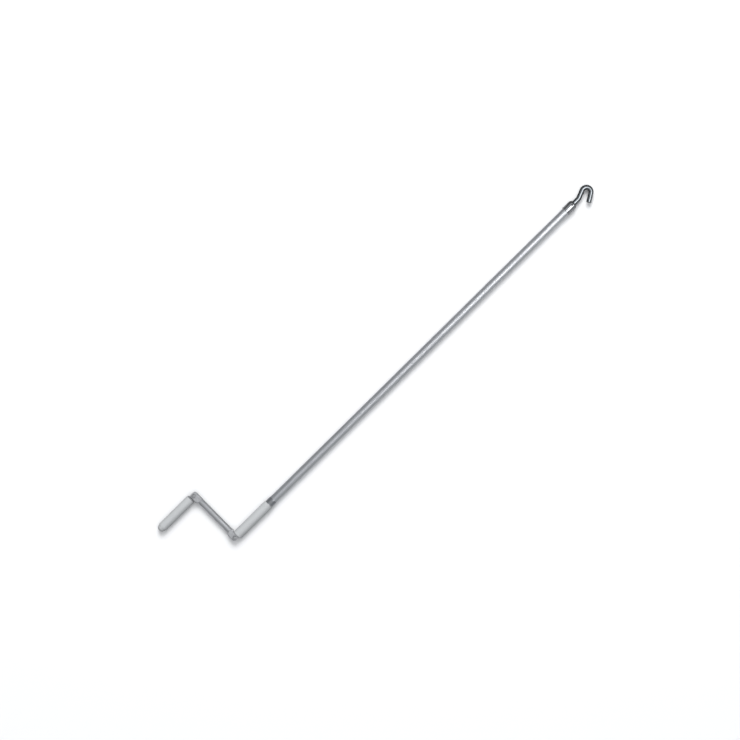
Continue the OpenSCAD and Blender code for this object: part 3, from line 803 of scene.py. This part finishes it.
def makeFloor():
    # A flat sheet, white to the camera. Bounced light sees it greyer than it is, as if it lay on a dark
    # table, which is painted shade under the pieces and in their contact shadows. Gloss sees it greyer too,
    # and sees a much darker patch
    # beside the hook: painted dark reflections, which keep the edges of the bright metal dark.
    half = studio["floorSize"] / 2
    corner = np.array([(-1, -1, 0), (1, -1, 0), (1, 1, 0), (-1, 1, 0)]) * half
    mesh = bpy.data.meshes.new("studioFloor")
    mesh.from_pydata((corner + (0, 0, cadLow[2])).tolist(), [], [(0, 1, 2, 3)])
    floor = bpy.data.objects.new("studioFloor", mesh)
    scene.collection.objects.link(floor)
    make = Maker("paleSheet", 0.9, 0.0)
    make.shader.inputs["Specular IOR Level"].default_value = 0.0
    rays = make.nodes.new("ShaderNodeLightPath")
    split = make.nodes.new("ShaderNodeSeparateXYZ")
    make.links.new(make.where, split.inputs[0])
    darkReflectionX = [socketHigh[0] + d * mm for d in studio["darkReflectionAlong"]]
    darkReflectionY = [lowerPivot[1] + d * mm for d in studio["darkReflectionAcross"]]
    # painted reflection: a dark patch of floor beside the hook that only gloss rays see
    darkReflectionMask = make.calc("MULTIPLY", make.ramp(split.outputs["X"], *darkReflectionX), make.ramp(split.outputs["Y"], *darkReflectionY))
    white = studio["floorColour"]
    dimmed, grey, dark = (tuple(c * studio[level] for c in white)
                          for level in ("floorInBounce", "floorInGloss", "darkReflectionLevel"))
    # painted shade and painted reflection: bounce and gloss rays see the floor greyer than the camera does
    plain = make.blend(rays.outputs["Is Diffuse Ray"], white, dimmed)
    make.colour(make.blend(rays.outputs["Is Glossy Ray"], plain, make.blend(darkReflectionMask, grey, dark)))
    mesh.materials.append(make.material)


def softbox(name, spot, target, wide, high, power, spread=180.0, diffuse=True, gloss=True):
    # A flat rectangle of light that faces its target, and lights plain surfaces, shows in gloss, or both.
    light = bpy.data.lights.new(name, "AREA")
    light.shape, light.size, light.size_y, light.energy = "RECTANGLE", wide, high, power
    light.spread = math.radians(spread)
    panel = bpy.data.objects.new(name, light)
    scene.collection.objects.link(panel)
    panel.location = spot
    panel.rotation_euler = (Vector(target) - Vector(spot)).to_track_quat("-Z", "Y").to_euler()
    panel.visible_diffuse, panel.visible_glossy = diffuse, gloss


def makeAir():
    # The air is bright overhead and falls off to the horizon, further on the side towards the handle (+Y):
    # level = side + (zenith - side) * smooth(z), with side running from the light side to the dark side.
    # The camera itself sees plain pale air past the end of the floor.
    world = bpy.data.worlds.new("studioAir")
    world.use_nodes = True
    nodes, links = world.node_tree.nodes, world.node_tree.links
    split = nodes.new("ShaderNodeSeparateXYZ")
    links.new(nodes.new("ShaderNodeTexCoord").outputs["Generated"], split.inputs[0])

    def ramp(value, low, high, toLow, toHigh):
        node = nodes.new("ShaderNodeMapRange")
        node.interpolation_type = "SMOOTHSTEP"
        links.new(value, node.inputs["Value"])
        for label, number in (("From Min", low), ("From Max", high)):
            node.inputs[label].default_value = number
        for label, number in (("To Min", toLow), ("To Max", toHigh)):
            if isinstance(number, float):
                node.inputs[label].default_value = number
            else:
                links.new(number, node.inputs[label])
        return node.outputs["Result"]

    side = ramp(split.outputs["Y"], *studio["sideBlend"], studio["lightSide"], studio["darkSide"])
    level = ramp(split.outputs["Z"], *studio["heightBlend"], side, studio["zenith"])
    background = nodes["Background"]
    background.inputs["Color"].default_value = (*studio["airColour"], 1.0)
    inView = nodes.new("ShaderNodeLightPath").outputs["Is Camera Ray"]
    links.new(ramp(inView, 0.0, 1.0, level, studio["airInView"]), background.inputs["Strength"])
    scene.world = world


makeFloor()
makeAir()
for lamp in lamps:
    softbox(**lamp)
lens = bpy.data.cameras.new("camera")
lens.sensor_width = 36.0
lens.lens = lens.sensor_width * studio["cameraHigh"] / studio["viewWide"]
camera = bpy.data.objects.new("camera", lens)
scene.collection.objects.link(camera)
camera.location = (studio["aimX"] * mm, studio["aimY"] * mm, studio["cameraHigh"] + axisHeight)
camera.rotation_euler = (0.0, 0.0, math.radians(studio["cameraTurn"]))
scene.camera = camera
scene.view_settings.view_transform = "Standard"
print("studio made")
